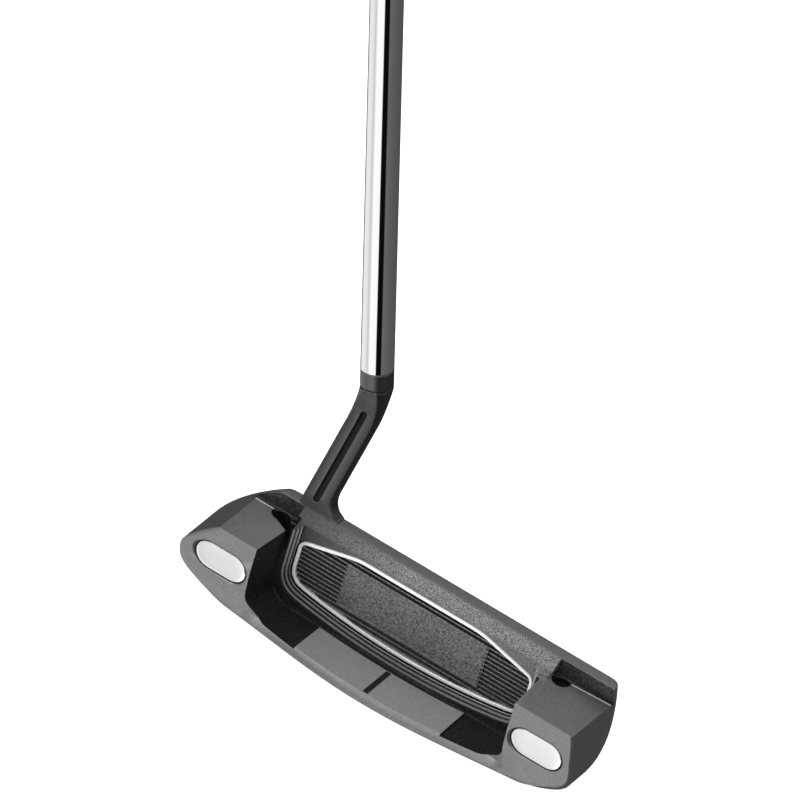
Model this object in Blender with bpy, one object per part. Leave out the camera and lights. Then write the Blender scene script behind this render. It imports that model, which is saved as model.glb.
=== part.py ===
"""Mallet putter, right-handed: head with two weights and a badge, slant neck, steel shaft, grip.

World frame: +X towards the toe, +Y towards the target, +Z up, with the sole resting at Z = 0.
Lengths below are in millimetres and are scaled to metres when a mesh is made.
"""

import math

import bmesh
import bpy
from mathutils import Vector

MM = 0.001
GAP = 0.3

# Head
HEEL_REACH = 59.6
TOE_REACH = 57.9
TOPLINE_HEIGHT = 29.0
TOPLINE_INNER_Y = 8.1
FACE_Y = 12.0
FACE_LOFT = math.radians(3.0)
SOLE_FLAT_HALF = 40.0
WIDEST_HEIGHT = 14.0
BUMPER_HEIGHT = 25.4
CHANNEL_Y = 5.4
CHANNEL_FLOOR = 24.2
REAR_LOW_Y = 7.0
REAR_BELLY = 7.1
REAR_TOP_Y = 11.8
NOTCH = (42.3, 4.4, 2.9)
NOTCH_FLOOR = 18.0

# Cavity and flange
WALL_Y = 5.0
CAVITY_HALF = 37.6
CAVITY_CORNER = 6.0
CAVITY_SPLAY = 1.2
FLOOR_HEIGHT = 3.7
DECK_HEIGHT = 4.2
DECK_HALF = 22.2
DECK_FRONT_Y = 0.7
DECK_REAR_Y = -12.7
RIBBON_RADIUS = 140.0
RIBBON_FOOT = 2.2

# Badge
BADGE_HALF = 35.1
BADGE_SHOULDER = 18.4
BADGE_TOP = 26.0
BADGE_CORNER = 21.6
BADGE_BOTTOM = 5.5
BADGE_RADIUS = 165.0
BADGE_THICKNESS = 1.2
RIM_WIDTH = 0.8

# Weights
WEIGHT_X = 47.4
WEIGHT_HEIGHT = 15.6
WEIGHT_LENGTH = 15.5
WEIGHT_WIDTH = 9.0
WEIGHT_DEPTH = 7.0

# Neck and shaft
LIE = math.radians(75.6)
NECK_WIDTH = 7.6
NECK_BACK_TO_FRONT = 4.6
NECK_BASE = Vector((-36.3, 10.3, TOPLINE_HEIGHT))
SHAFT_FOOT = Vector((-35.9, 22.0, 67.3))
SHAFT_TIP_RADIUS = 4.25
SHAFT_BUTT_RADIUS = 7.3
SHAFT_WALL = 0.8
SHAFT_LENGTH = 791.0
PLAIN_TIP = 200.0
STEPS = 9
POST_RADIUS = 3.15
POST_LENGTH = 30.0
FERRULE_LENGTH = 4.5

# Grip
GRIP_LENGTH = 266.0
GRIP_WIDTH = 27.0
GRIP_DEPTH = 30.0
TAPE_THICKNESS = 0.5
CAP_THICKNESS = 3.0

BLACK = ("black_steel", (0.030, 0.030, 0.032), 1.0, 0.42)
DARK = ("dark_badge", (0.045, 0.045, 0.048), 1.0, 0.40)
BRIGHT = ("bright_steel", (0.86, 0.86, 0.86), 1.0, 0.18)
CHROME = ("chrome", (0.90, 0.90, 0.90), 1.0, 0.06)
RUBBER = ("grip_rubber", (0.018, 0.018, 0.018), 0.0, 0.75)
TAPE = ("masking_tape", (0.72, 0.66, 0.50), 0.0, 0.80)
PAINT = ("black_paint", (0.008, 0.008, 0.008), 0.0, 0.35)


def clear_scene():
    for obj in list(bpy.data.objects):
        bpy.data.objects.remove(obj, do_unlink=True)


def material(spec):
    name, colour, metallic, roughness = spec
    found = bpy.data.materials.get(name)
    if found:
        return found
    made = bpy.data.materials.new(name)
    made.use_nodes = True
    shader = made.node_tree.nodes["Principled BSDF"]
    shader.inputs["Base Color"].default_value = (*colour, 1.0)
    shader.inputs["Metallic"].default_value = metallic
    shader.inputs["Roughness"].default_value = roughness
    made.diffuse_color = (*colour, 1.0)
    return made


def mesh_object(name, points, faces, spec, smooth=False):
    """A closed mesh object from points in millimetres."""
    data = bpy.data.meshes.new(name)
    built = bmesh.new()
    made = [built.verts.new(Vector(p) * MM) for p in points]
    for face in faces:
        built.faces.new([made[i] for i in face])
    bmesh.ops.recalc_face_normals(built, faces=built.faces)
    built.to_mesh(data)
    built.free()
    for polygon in data.polygons:
        polygon.use_smooth = smooth
    obj = bpy.data.objects.new(name, data)
    bpy.context.scene.collection.objects.link(obj)
    if spec:
        data.materials.append(material(spec))
    return obj


def loft(name, rings, spec, smooth=False):
    """A solid through closed rings that all have the same number of points."""
    count = len(rings[0])
    points = [p for ring in rings for p in ring]
    faces = [tuple(range(count)), tuple(range(len(points) - count, len(points)))]
    for level in range(len(rings) - 1):
        start = level * count
        for i in range(count):
            j = (i + 1) % count
            faces.append((start + i, start + j, start + count + j, start + count + i))
    return mesh_object(name, points, faces, spec, smooth)


def tube(name, outer, inner, spec, smooth=True):
    """An open-ended tube from matching rings of its outside and its bore."""
    count = len(outer[0])
    loops = outer + inner[::-1]
    points = [p for ring in loops for p in ring]
    faces = []
    for level in range(len(loops)):
        start = level * count
        after = (level + 1) % len(loops) * count
        for i in range(count):
            j = (i + 1) % count
            faces.append((start + i, start + j, after + j, after + i))
    return mesh_object(name, points, faces, spec, smooth)


def cutter(obj):
    obj.hide_render = True
    obj.display_type = "WIRE"
    return obj


def boolean(target, tool, operation="DIFFERENCE"):
    cutter(tool)
    step = target.modifiers.new(tool.name, "BOOLEAN")
    step.operation = operation
    step.solver = "EXACT"
    step.object = tool


def box(name, low, high):
    (x0, y0, z0), (x1, y1, z1) = low, high
    return loft(name, [[(x0, y0, z), (x1, y0, z), (x1, y1, z), (x0, y1, z)] for z in (z0, z1)], None)


def arc(centre, radius, start, end, steps):
    """Points of an arc in the plane, angles in degrees."""
    found = []
    for i in range(steps + 1):
        angle = math.radians(start + (end - start) * i / steps)
        found.append((centre[0] + radius * math.cos(angle), centre[1] + radius * math.sin(angle)))
    return found


def inset_loop(points, inset):
    """An anticlockwise outline moved inwards by an even distance, with mitred corners."""
    found = []
    for i, (x, z) in enumerate(points):
        before = Vector((x - points[i - 1][0], z - points[i - 1][1])).normalized()
        after = points[(i + 1) % len(points)]
        ahead = Vector((after[0] - x, after[1] - z)).normalized()
        normal = Vector((-before.y - ahead.y, before.x + ahead.x)).normalized()
        reach = inset / max(0.4, normal.dot(Vector((-before.y, before.x))))
        found.append((x + normal.x * reach, z + normal.y * reach))
    return found


def circle(radius, height, count=48):
    return [(x, y, height) for x, y in arc((0, 0), radius, 0, 360, count)[:-1]]


# Head


def half_length(z, toe):
    """How far the end of the head reaches at this height."""
    reach = TOE_REACH if toe else HEEL_REACH
    if z <= WIDEST_HEIGHT:
        fall = ((WIDEST_HEIGHT - z) / WIDEST_HEIGHT) ** 2.6
        return SOLE_FLAT_HALF + (reach - SOLE_FLAT_HALF) * (1 - fall) ** (1 / 2.6)
    rise = (z - WIDEST_HEIGHT) / (TOPLINE_HEIGHT - WIDEST_HEIGHT)
    return reach - (3.1 * rise**1.6 if toe else 14.6 * rise**1.55)


def front_y(z):
    """The face leans back by the loft, and its lower edge is rounded."""
    edge = 3.0
    round_off = edge - math.sqrt(edge**2 - (edge - z) ** 2) if z < edge else 0.0
    return FACE_Y + (TOPLINE_HEIGHT - z) * math.tan(FACE_LOFT) - round_off


def smooth(value):
    value = min(max(value, 0.0), 1.0)
    return value * value * (3 - 2 * value)


def rear_low(x):
    """The rear wall at the sole, bellied out in the middle."""
    return -(REAR_LOW_Y + REAR_BELLY * math.exp(-((x / 44.0) ** 2)))


def ribbon_inset(x, z):
    """The flange's rear edge slopes inwards above the foot, and fades out into the bumpers."""
    depth = DECK_REAR_Y + x * x / (2 * RIBBON_RADIUS) - rear_low(x)
    depth *= 1 - smooth((abs(x) - 34.0) / 9.0)
    rise = (z - RIBBON_FOOT) / (DECK_HEIGHT - RIBBON_FOOT)
    return depth * min(max(rise, 0.0), 1.0) * (1 - smooth((z - 5.0) / 7.0))


def rear_y(x, z):
    """The rear wall, straighter at the ends, with its lower edge rounded."""
    low = rear_low(x)
    share = min(max((z - 3.0) / 14.0, 0.0), 1.0)
    edge = 3.6 + (1.7 if x > 0 else 4.6) * (x / 50.0) ** 2
    tuck = 4.5 * (1 - math.sqrt(1 - ((edge - z) / edge) ** 2)) if z < edge else 0.0
    return low + (-REAR_TOP_Y - low) * share * min(abs(x) / 34.0, 1.0) + tuck + ribbon_inset(x, z)


def rear_radius(z):
    return 2.0 + 7.0 * max(0.0, 1 - z / 11.0) ** 1.5


def front_radius(z):
    return 2.5 + 14.5 * max(0.0, 1 - z / 30.0) ** 1.3


def plan_outline(z):
    """The head's outline at this height, anticlockwise from the heel end of the face."""
    heel, toe, front = -half_length(z, False), half_length(z, True), front_y(z)
    rear_toe, rear_heel = rear_y(toe, z), rear_y(heel, z)
    radius, ahead = rear_radius(z), front_radius(z)
    room = 0.94 * (front - max(rear_toe, rear_heel)) / (radius + ahead)
    radius, ahead = radius * min(room, 1.0), ahead * min(room, 1.0)
    points = []
    for i in range(49):
        x = heel + radius + (toe - heel - 2 * radius) * i / 48
        points.append((x, rear_y(x, z)))
    points += arc((toe - radius, rear_toe + radius), radius, -78, 0, 6)
    points += arc((toe - ahead, front - ahead), ahead, 0, 90, 8)
    points += arc((heel + ahead, front - ahead), ahead, 90, 180, 8)
    points += arc((heel + radius, rear_heel + radius), radius, 180, 258, 6)
    return [(x, y, z) for x, y in points]


def head_blank():
    heights = (0, 0.3, 0.8, 1.5, 2.2, 3.2, 4.2, 5.2, 6.5, 8, 10, 12.5, 15, 18, 21, 23.5, 26, 27.6, TOPLINE_HEIGHT)
    return loft("head_body", [plan_outline(z) for z in heights], BLACK)


def cavity_profile(x, floor):
    """Side view of the milled cavity at one station along the head."""
    side = CAVITY_SPLAY * max(abs(x) - CAVITY_HALF + CAVITY_CORNER, 0) / CAVITY_CORNER
    blend = 3.0
    points = [(TOPLINE_INNER_Y, TOPLINE_HEIGHT + 1), (TOPLINE_INNER_Y, TOPLINE_HEIGHT - 0.2)]
    points.append((WALL_Y, BADGE_TOP + 0.4))
    points += arc((WALL_Y - blend, floor + blend), blend, 0, -90, 7)
    points += [(-20.0, floor), (-20.0, TOPLINE_HEIGHT + 1)]
    return [(x + math.copysign(side, x) * (WALL_Y - y) / 17, y, z) for y, z in points]


def cut_cavity(head):
    stations = []
    for i in range(8):
        turn = math.radians(82.0 * i / 7)
        along = CAVITY_HALF - CAVITY_CORNER * (1 - math.sin(turn))
        stations.append((along, CAVITY_CORNER * (1 - math.cos(turn))))
    rings = [cavity_profile(-x, FLOOR_HEIGHT + lift) for x, lift in stations[::-1]]
    rings += [cavity_profile(x, FLOOR_HEIGHT + lift) for x, lift in stations]
    cavity = loft("cavity_cutter", rings, None)
    deck = [[(x, y, z) for x, y in deck_outline()] for z in (-1.0, DECK_HEIGHT)]
    boolean(cavity, loft("deck_block", deck, None))
    boolean(head, cavity)


def deck_outline():
    """The raised sighting deck: its front edge bows to the rear, and it runs out through the rear."""
    points = [(-DECK_HALF, -30.0), (DECK_HALF, -30.0)]
    for i in range(13):
        x = DECK_HALF - 2 * DECK_HALF * i / 12
        points.append((x * 0.98, DECK_FRONT_Y - 1.2 * (1 - (x / DECK_HALF) ** 2)))
    return points


def cut_bumpers(head):
    """Steps the bumpers down behind the topline and mills the channel in front of them."""
    boolean(head, box("bumper_cutter", (-70, -30, BUMPER_HEIGHT), (70, TOPLINE_INNER_Y, 40)))
    for side, name in ((-1, "heel_channel_cutter"), (1, "toe_channel_cutter")):
        near, far = sorted((side * 38.0, side * 70.0))
        low, high = (near, CHANNEL_Y, CHANNEL_FLOOR), (far, TOPLINE_INNER_Y, 40)
        boolean(head, box(name, low, high))
    for side, name in ((-1, "heel_notch_cutter"), (1, "toe_notch_cutter")):
        x, y, radius = NOTCH
        corner = [(37.0, -0.1), (x, y - radius), (x, TOPLINE_INNER_Y), (37.0, TOPLINE_INNER_Y)]
        plunge = arc((side * x, y), radius, 0, 360, 24)[:-1]
        rings = [[(px, py, z) for px, py in plunge] for z in (NOTCH_FLOOR, 40)]
        boolean(head, loft(name, rings, None))
        rings = [[(side * px, py, z) for px, py in corner] for z in (NOTCH_FLOOR, 40)]
        boolean(head, loft(name.replace("notch", "corner"), rings, None))


def badge_outline(inset):
    """The badge seen from behind: sloped shoulders, upright sides and a bowed lower edge."""
    reach = BADGE_HALF - 3.4
    points = []
    for i in range(17):
        x = -reach + 2 * reach * i / 16
        points.append((x, BADGE_BOTTOM + x * x / (2 * BADGE_RADIUS)))
    low = points[-1][1]
    points += [(BADGE_HALF - 1.3, low + 1.4), (BADGE_HALF - 0.3, low + 3.6), (BADGE_HALF, low + 5.6)]
    points += [(BADGE_HALF, BADGE_CORNER - 0.8), (BADGE_HALF - 0.6, BADGE_CORNER + 0.1)]
    points += [(BADGE_SHOULDER + 0.8, BADGE_TOP - 0.25), (BADGE_SHOULDER - 1.2, BADGE_TOP)]
    points += [(-x, z) for x, z in points[:16:-1]]
    return inset_loop(points, inset)


def badge_slab(name, inset, rear, front, spec):
    """A flat piece of the badge between two depths, rear being nearer the golfer."""
    rings = [[(x, y, z) for x, z in badge_outline(inset)] for y in (rear, front)]
    return loft(name, rings, spec)


def cut_badge_seat(head):
    boolean(head, badge_slab("badge_seat_cutter", -GAP, WALL_Y - 8.0, WALL_Y + BADGE_THICKNESS, None))


def make_badge():
    rear = WALL_Y - 0.1
    front = WALL_Y + BADGE_THICKNESS - GAP
    plate = badge_slab("badge_plate", RIM_WIDTH + 2 * GAP, rear, front, DARK)
    half = (21.2, 5.4)
    pocket = panel_slab("badge_panel_cutter", half, 0.0, rear - 1, rear + 0.5, None)
    boolean(plate, pocket)
    panel_slab("badge_panel", half, GAP, rear - 0.1, rear + 0.2, DARK)
    outer = badge_outline(0.0)
    inner = badge_outline(RIM_WIDTH)
    rings = [[(x, y, z) for x, z in outer] for y in (rear - 0.3, front)]
    bore = [[(x, y, z) for x, z in inner] for y in (rear - 0.3, front)]
    tube("badge_rim", rings, bore, BRIGHT, smooth=False)


def panel_slab(name, half, inset, rear, front, spec):
    centre = (BADGE_TOP + BADGE_BOTTOM) / 2 + 0.4
    x, z = half[0] - inset, half[1] - inset
    corners = [(-x, centre - z), (x, centre - z), (x, centre + z), (-x, centre + z)]
    return loft(name, [[(px, y, pz) for px, pz in corners] for y in (rear, front)], spec)


def weight_outline(side, inset):
    """A stadium lying along the pad, in the XZ plane."""
    radius = WEIGHT_WIDTH / 2 - inset
    reach = (WEIGHT_LENGTH - WEIGHT_WIDTH) / 2
    middle = side * WEIGHT_X
    points = arc((middle + reach, WEIGHT_HEIGHT), radius, -90, 90, 12)
    return points + arc((middle - reach, WEIGHT_HEIGHT), radius, 90, 270, 12)


def pad_y(side):
    return rear_y(side * WEIGHT_X, WEIGHT_HEIGHT)


def make_weights(head):
    lean = (rear_y(WEIGHT_X, WEIGHT_HEIGHT + 4) - rear_y(WEIGHT_X, WEIGHT_HEIGHT - 4)) / 8
    for side, word in ((-1, "heel"), (1, "toe")):
        seat = pad_y(side) + WEIGHT_DEPTH
        pocket = [[(x, y, z) for x, z in weight_outline(side, 0)] for y in (-30, seat)]
        boolean(head, loft(f"{word}_weight_cutter", pocket, None))
        shape = weight_outline(side, GAP)
        face = [(x, pad_y(side) + 0.35 + lean * (z - WEIGHT_HEIGHT), z) for x, z in shape]
        back = [(x, seat - GAP, z) for x, z in shape]
        loft(f"{word}_weight", [face, back], BRIGHT)


def make_sight_line(head):
    rings = [[(x, y, z) for x, y in rounded_bar(0.75, 11.4, 0.0)] for z in (DECK_HEIGHT - 0.9, 9)]
    boolean(head, loft("sight_groove_cutter", rings, None))
    inlay = [[(x, y, z) for x, y in rounded_bar(0.75, 11.4, 0.3)] for z in (DECK_HEIGHT - 0.6, DECK_HEIGHT - 0.2)]
    loft("sight_line_inlay", inlay, PAINT)


def rounded_bar(half_width, length, inset):
    rear, front = -12.1 + inset, -12.1 + length - inset
    half = half_width - inset
    return [(-half, rear), (half, rear), (half, front), (-half, front)]


def make_head():
    head = head_blank()
    cut_bumpers(head)
    cut_cavity(head)
    cut_badge_seat(head)
    make_badge()
    make_weights(head)
    make_sight_line(head)
    boolean(head, loft("neck_socket_cutter", neck_peg(0.0, -6.3, 3.0), None))
    return head


# Neck


def rounded_rectangle(cx, cy, half_x, half_y, radius, z, steps=4):
    corners = ((1, -1, -90), (1, 1, 0), (-1, 1, 90), (-1, -1, 180))
    points = []
    for sx, sy, start in corners:
        centre = (cx + sx * (half_x - radius), cy + sy * (half_y - radius))
        points += arc(centre, radius, start, start + 90, steps)
    return [(x, y, z) for x, y in points]


def neck_peg(inset, depth, top):
    """The peg under the neck, sunk into the topline."""
    x, y, z = NECK_BASE
    sections = (z + depth, z + top)
    return [rounded_rectangle(x, y - 0.1, 3.2 - inset, 1.3 - inset, 0.8, height) for height in sections]


def axis_point(distance):
    """A point on the shaft's centre line, measured up from its foot."""
    return SHAFT_FOOT + Vector((-math.cos(LIE), 0, math.sin(LIE))) * distance


def axis_ring(radius, distance, squareness=0.0, half=(0, 0)):
    """A ring square to the shaft; squareness blends it towards the neck's bar section."""
    ring = []
    centre = axis_point(distance)
    across = Vector((math.sin(LIE), 0, math.cos(LIE)))
    flat = rounded_rectangle(0, 0, half[0] or radius, half[1] or radius, min(1.0, radius / 2), 0)
    for x, y, _ in flat:
        angle = math.atan2(y, x)
        round_x, round_y = radius * math.cos(angle), radius * math.sin(angle)
        px = round_x + (x - round_x) * squareness
        py = round_y + (y - round_y) * squareness
        ring.append(centre + across * px + Vector((0, py, 0)))
    return ring


def make_neck():
    half = (NECK_WIDTH / 2, NECK_BACK_TO_FRONT / 2)
    foot = NECK_BASE + Vector((0, 0, GAP))
    top = axis_point(-FERRULE_LENGTH - 4.0)
    rings = []
    for share, flare in ((0.0, 4.2), (0.02, 2.6), (0.05, 1.3), (0.10, 0.4), (0.16, 0.0), (0.5, 0.0), (0.86, 0.0)):
        centre = foot.lerp(top, share)
        wide = half[0] + flare / 2
        deep = half[1] if share else 1.9
        ring = rounded_rectangle(centre.x + flare / 2, centre.y, wide, deep, 1.0, centre.z)
        rings.append(ring)
    rings.append(axis_ring(4.0, -FERRULE_LENGTH - 2.6, 0.5, (3.9, 3.2)))
    rings.append(axis_ring(SHAFT_TIP_RADIUS, -FERRULE_LENGTH - GAP))
    rings.append(axis_ring(POST_RADIUS, -FERRULE_LENGTH - GAP + 0.01))
    rings.append(axis_ring(POST_RADIUS, POST_LENGTH - 1.0))
    rings.append(axis_ring(POST_RADIUS - 0.8, POST_LENGTH))
    neck = loft("neck", rings, BLACK, smooth=False)
    groove = []
    along = top - foot
    for share in (0.10, 0.86):
        centre = foot.lerp(top, share)
        for i in range(9):
            turn = math.radians(180 * i / 8) + (math.pi if share < 0.5 else 0.0)
            offset = along.normalized() * 0.8 * math.sin(turn) + Vector((0.8 * math.cos(turn), 0, 0))
            groove.append(centre + offset)
    rings = [[point + Vector((0, y, 0)) for point in groove] for y in (-half[1] - 2.0, -half[1] + 0.9)]
    boolean(neck, loft("neck_groove_cutter", rings, None))
    boolean(neck, loft("neck_peg_block", neck_peg(GAP, -6.0, 2.0), None), "UNION")
    return neck


# Shaft and grip, modelled upright and then set at the lie angle


def shaft_axis():
    axis = bpy.data.objects.new("shaft_axis", None)
    bpy.context.scene.collection.objects.link(axis)
    axis.location = SHAFT_FOOT * MM
    axis.rotation_euler = (0.0, LIE - math.pi / 2, 0.0)
    return axis


def shaft_radius(height):
    """A plain tip, then even steps up to the butt."""
    if height <= PLAIN_TIP:
        return SHAFT_TIP_RADIUS
    step = math.ceil((height - PLAIN_TIP) / 38.0)
    return SHAFT_TIP_RADIUS + (SHAFT_BUTT_RADIUS - SHAFT_TIP_RADIUS) * min(step, STEPS) / STEPS


def shaft_stations():
    heights = [GAP, PLAIN_TIP]
    for step in range(STEPS - 1):
        start = PLAIN_TIP + 38.0 * step
        heights += [start + 0.9, start + 38.0]
    return heights + [PLAIN_TIP + 38.0 * (STEPS - 1) + 0.9, SHAFT_LENGTH]


def grip_section(height, grow=0.0, count=48):
    """Pistol section, evenly spaced in angle: an oval cut flat in front, the palm side swelling upwards."""
    share = height / GRIP_LENGTH
    half = (GRIP_WIDTH - 5.0 + 5.0 * share) / 2 + grow
    palm = 11.0 + (GRIP_DEPTH - 23.0) * share**1.7 + grow
    front = 10.6 + 1.4 * share + grow
    points = []
    for i in range(count):
        angle = math.tau * i / count
        reach = palm if math.cos(angle) < 0 else front * 1.35
        radius = 1 / math.hypot(math.cos(angle) / reach, math.sin(angle) / half)
        if math.cos(angle) > 0:
            radius = min(radius, front / math.cos(angle))
        points.append((radius * math.cos(angle), radius * math.sin(angle), height))
    return [(x, y, z + SHAFT_LENGTH - GRIP_LENGTH) for x, y, z in points]


def make_shaft(axis):
    heights = shaft_stations()
    outer = [circle(shaft_radius(z), z) for z in heights]
    inner = [circle(shaft_radius(z) - SHAFT_WALL, z) for z in heights]
    tube("shaft", outer, inner, CHROME).parent = axis


def make_ferrule(axis):
    outer = [circle(SHAFT_TIP_RADIUS, z) for z in (-FERRULE_LENGTH, 0.0)]
    inner = [circle(POST_RADIUS + GAP, z) for z in (-FERRULE_LENGTH, 0.0)]
    tube("ferrule", outer, inner, BLACK).parent = axis


def make_grip(axis):
    foot = SHAFT_LENGTH - GRIP_LENGTH
    clear = SHAFT_BUTT_RADIUS + GAP
    tape_outer = clear + TAPE_THICKNESS
    tape_start = foot + 2.0
    outer = [circle(tape_outer, z) for z in (tape_start, SHAFT_LENGTH - 2.0)]
    inner = [circle(clear, z) for z in (tape_start, SHAFT_LENGTH - 2.0)]
    tube("grip_tape", outer, inner, TAPE).parent = axis
    levels = [GRIP_LENGTH * i / 12 for i in range(13)]
    shell = [grip_section(z) for z in levels]
    shell[0] = grip_section(levels[0], -0.8)
    shell.insert(1, grip_section(1.2))
    bore = [circle(tape_outer + GAP, ring[0][2]) for ring in shell]
    tube("grip_sleeve", shell, bore, RUBBER).parent = axis
    make_cap(axis)


def make_cap(axis):
    low = grip_section(GRIP_LENGTH, -0.2)
    base = SHAFT_LENGTH + GAP
    rings = []
    for lift, shrink in ((0.0, 0.0), (1.6, 0.0), (2.6, 0.08), (CAP_THICKNESS, 0.2)):
        rings.append([(x * (1 - shrink), y * (1 - shrink), base + lift) for x, y, _ in low])
    cap = loft("grip_cap", rings, RUBBER)
    plug = [circle(SHAFT_BUTT_RADIUS - SHAFT_WALL - GAP, z, 32) for z in (base - 8.0, base + 1.0)]
    plug_block = loft("cap_plug_block", plug, None)
    plug_block.parent = axis
    boolean(cap, plug_block, "UNION")
    cap.parent = axis


def main():
    clear_scene()
    make_head()
    make_neck()
    axis = shaft_axis()
    make_shaft(axis)
    make_ferrule(axis)
    make_grip(axis)


main()
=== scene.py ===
"""Looks of the mallet putter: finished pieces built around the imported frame, with studio light and camera.

Shape helpers work in millimetres and are scaled to metres when a mesh is made.
Frame: +X towards the toe, +Y towards the target, +Z up, sole on Z = 0.
"""

import math

import bmesh
import bpy
from mathutils import Matrix, Vector


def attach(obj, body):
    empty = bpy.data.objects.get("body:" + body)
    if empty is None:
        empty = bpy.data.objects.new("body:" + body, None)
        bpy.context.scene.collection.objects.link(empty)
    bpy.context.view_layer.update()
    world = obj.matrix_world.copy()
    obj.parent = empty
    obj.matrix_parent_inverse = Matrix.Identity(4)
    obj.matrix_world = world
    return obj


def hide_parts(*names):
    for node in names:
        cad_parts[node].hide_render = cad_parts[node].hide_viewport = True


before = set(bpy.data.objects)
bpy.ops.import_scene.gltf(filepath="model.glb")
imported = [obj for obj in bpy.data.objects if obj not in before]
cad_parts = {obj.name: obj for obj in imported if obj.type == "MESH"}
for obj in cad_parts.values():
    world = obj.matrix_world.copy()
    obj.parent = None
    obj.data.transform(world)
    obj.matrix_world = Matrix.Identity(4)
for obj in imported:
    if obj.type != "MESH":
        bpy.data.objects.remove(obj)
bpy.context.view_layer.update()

MM = 0.001

# Head
HEEL_REACH = 59.6
TOE_REACH = 57.9
TOPLINE_HEIGHT = 29.0
TOPLINE_INNER_Y = 8.1
FACE_Y = 12.0
FACE_LOFT = math.radians(3.0)
SOLE_FLAT_HALF = 40.0
WIDEST_HEIGHT = 14.0
BUMPER_HEIGHT = 25.4
CHANNEL_Y = 6.2
CHANNEL_LEAD = 0.3
TOE_CHANNEL_SKEW = 1.8
CHANNEL_FLOOR = 24.2
REAR_LOW_Y = 7.0
REAR_BELLY = 7.1
REAR_TOP_Y = 11.8
PLUNGE = (42.1, 5.2, 2.6)  # X, Y and radius
PLUNGE_FLOOR = 19.0
TOE_PLUNGE_FLOOR = 22.4
CORNER_LEVEL = 24.95
TOPLINE_CHAMFER = 0.35
END_ROUNDNESS = 2.6
TOE_DRAW_IN = (3.1, 1.6)  # how far the end comes in towards the topline, and how late
HEEL_DRAW_IN = (14.6, 1.55)
BUMPER_INNER_X = 37.0
BUMPER_FRONT_Y = 0.65
HEEL_STEP_X = 38.0
TOE_STEP_X = 39.2
PAST_END = 70.0
PAST_REAR = -30.0

# Cavity and flange
WALL_Y = 5.0
CAVITY_HALF = 37.6
CAVITY_CORNER = 6.0
CAVITY_SPLAY = 1.2
FLOOR_HEIGHT = 3.7
DECK_HEIGHT = 4.2
DECK_HALF = 22.2
DECK_FRONT_Y = 0.7
DECK_REAR_Y = -12.7
RIBBON_RADIUS = 140.0
RIBBON_FOOT = 2.2
CAVITY_FRONT_Y = 1.6
LEDGES = ((0.5, 4.1), (1.05, 3.15), (1.6, 2.2))  # how far each reaches past the badge, and its Y
LEDGE_REAR_Y = 0.95

# Badge
BADGE_HALF = 35.1
BADGE_SHOULDER = 18.4
BADGE_TOP = 26.0
BADGE_CORNER = 21.6
BADGE_BOTTOM = 5.5
BADGE_RADIUS = 165.0
BADGE_FRONT_Y = 5.9  # the side bonded to the wall
RIM_WIDTH = 0.85
PLATE_Y = 4.95
RIB_PITCH = 1.3
PANEL_HALF = 21.4
PANEL_LOW, PANEL_HIGH = 9.6, 22.9

# Weights
WEIGHT_X = 47.4
WEIGHT_HEIGHT = 15.6
WEIGHT_LENGTH = 15.5
WEIGHT_WIDTH = 9.0

# Neck and shaft
LIE = math.radians(75.6)
NECK_WIDTH = 7.6
NECK_DEPTH = 4.6
NECK_BASE = Vector((-36.3, 10.3, TOPLINE_HEIGHT))
NECK_BAR_SHARE = 0.8  # the part of its length over which the neck is a plain bar
RECESS_HEIGHT = 0.75
SHAFT_FOOT = Vector((-35.9, 22.0, 67.3))
TIP_RADIUS = 4.25
BUTT_RADIUS = 7.3
SHAFT_LENGTH = 791.0
PLAIN_TIP = 200.0
STEPS = 9
STEP_LENGTH = 38.0
FERRULE_LENGTH = 4.5
GRIP_LENGTH = 266.0
GRIP_WIDTH = 27.0
GRIP_DEPTH = 30.0


# Mesh helpers


def mesh_object(name, points, faces):
    """A closed mesh object from points in millimetres."""
    built = bmesh.new()
    made = [built.verts.new(Vector(p) * MM) for p in points]
    for face in faces:
        built.faces.new([made[i] for i in face])
    bmesh.ops.recalc_face_normals(built, faces=built.faces)
    data = bpy.data.meshes.new(name)
    built.to_mesh(data)
    built.free()
    obj = bpy.data.objects.new(name, data)
    bpy.context.scene.collection.objects.link(obj)
    soften(obj)
    return obj


def soften(obj, angle=26.0):
    """Smooth shading, kept sharp where two faces meet at more than the angle."""
    for polygon in obj.data.polygons:
        polygon.use_smooth = True
    obj.data.set_sharp_from_angle(angle=math.radians(angle))


def loft(name, rings):
    """A solid through closed rings that all have the same number of points."""
    count = len(rings[0])
    points = [p for ring in rings for p in ring]
    faces = [tuple(range(count)), tuple(range(len(points) - count, len(points)))]
    for level in range(len(rings) - 1):
        start = level * count
        for i in range(count):
            j = (i + 1) % count
            faces.append((start + i, start + j, start + count + j, start + count + i))
    return mesh_object(name, points, faces)


def prism_x(name, outline, left, right):
    """A prism along X on an outline of (y, z) points."""
    return loft(name, [[(x, y, z) for y, z in outline] for x in (left, right)])


def prism_y(name, outline, rear, front):
    """A prism along Y on an outline of (x, z) points."""
    return loft(name, [[(x, y, z) for x, z in outline] for y in (rear, front)])


def prism_z(name, outline, low, high):
    """An upright prism on an outline of (x, y) points."""
    return loft(name, [[(x, y, z) for x, y in outline] for z in (low, high)])


def ring_sweep(name, loops):
    """A closed ring-shaped solid: the loops run round its section and the last joins the first."""
    count = len(loops[0])
    points = [p for ring in loops for p in ring]
    faces = []
    for level in range(len(loops)):
        start = level * count
        after = (level + 1) % len(loops) * count
        for i in range(count):
            j = (i + 1) % count
            faces.append((start + i, start + j, after + j, after + i))
    return mesh_object(name, points, faces)


def cut(target, tool):
    """Adds a Boolean with the tool, which settle() applies and removes."""
    tool.hide_render = True
    step = target.modifiers.new(tool.name, "BOOLEAN")
    step.operation = "DIFFERENCE"
    step.solver = "EXACT"
    step.object = tool


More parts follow.
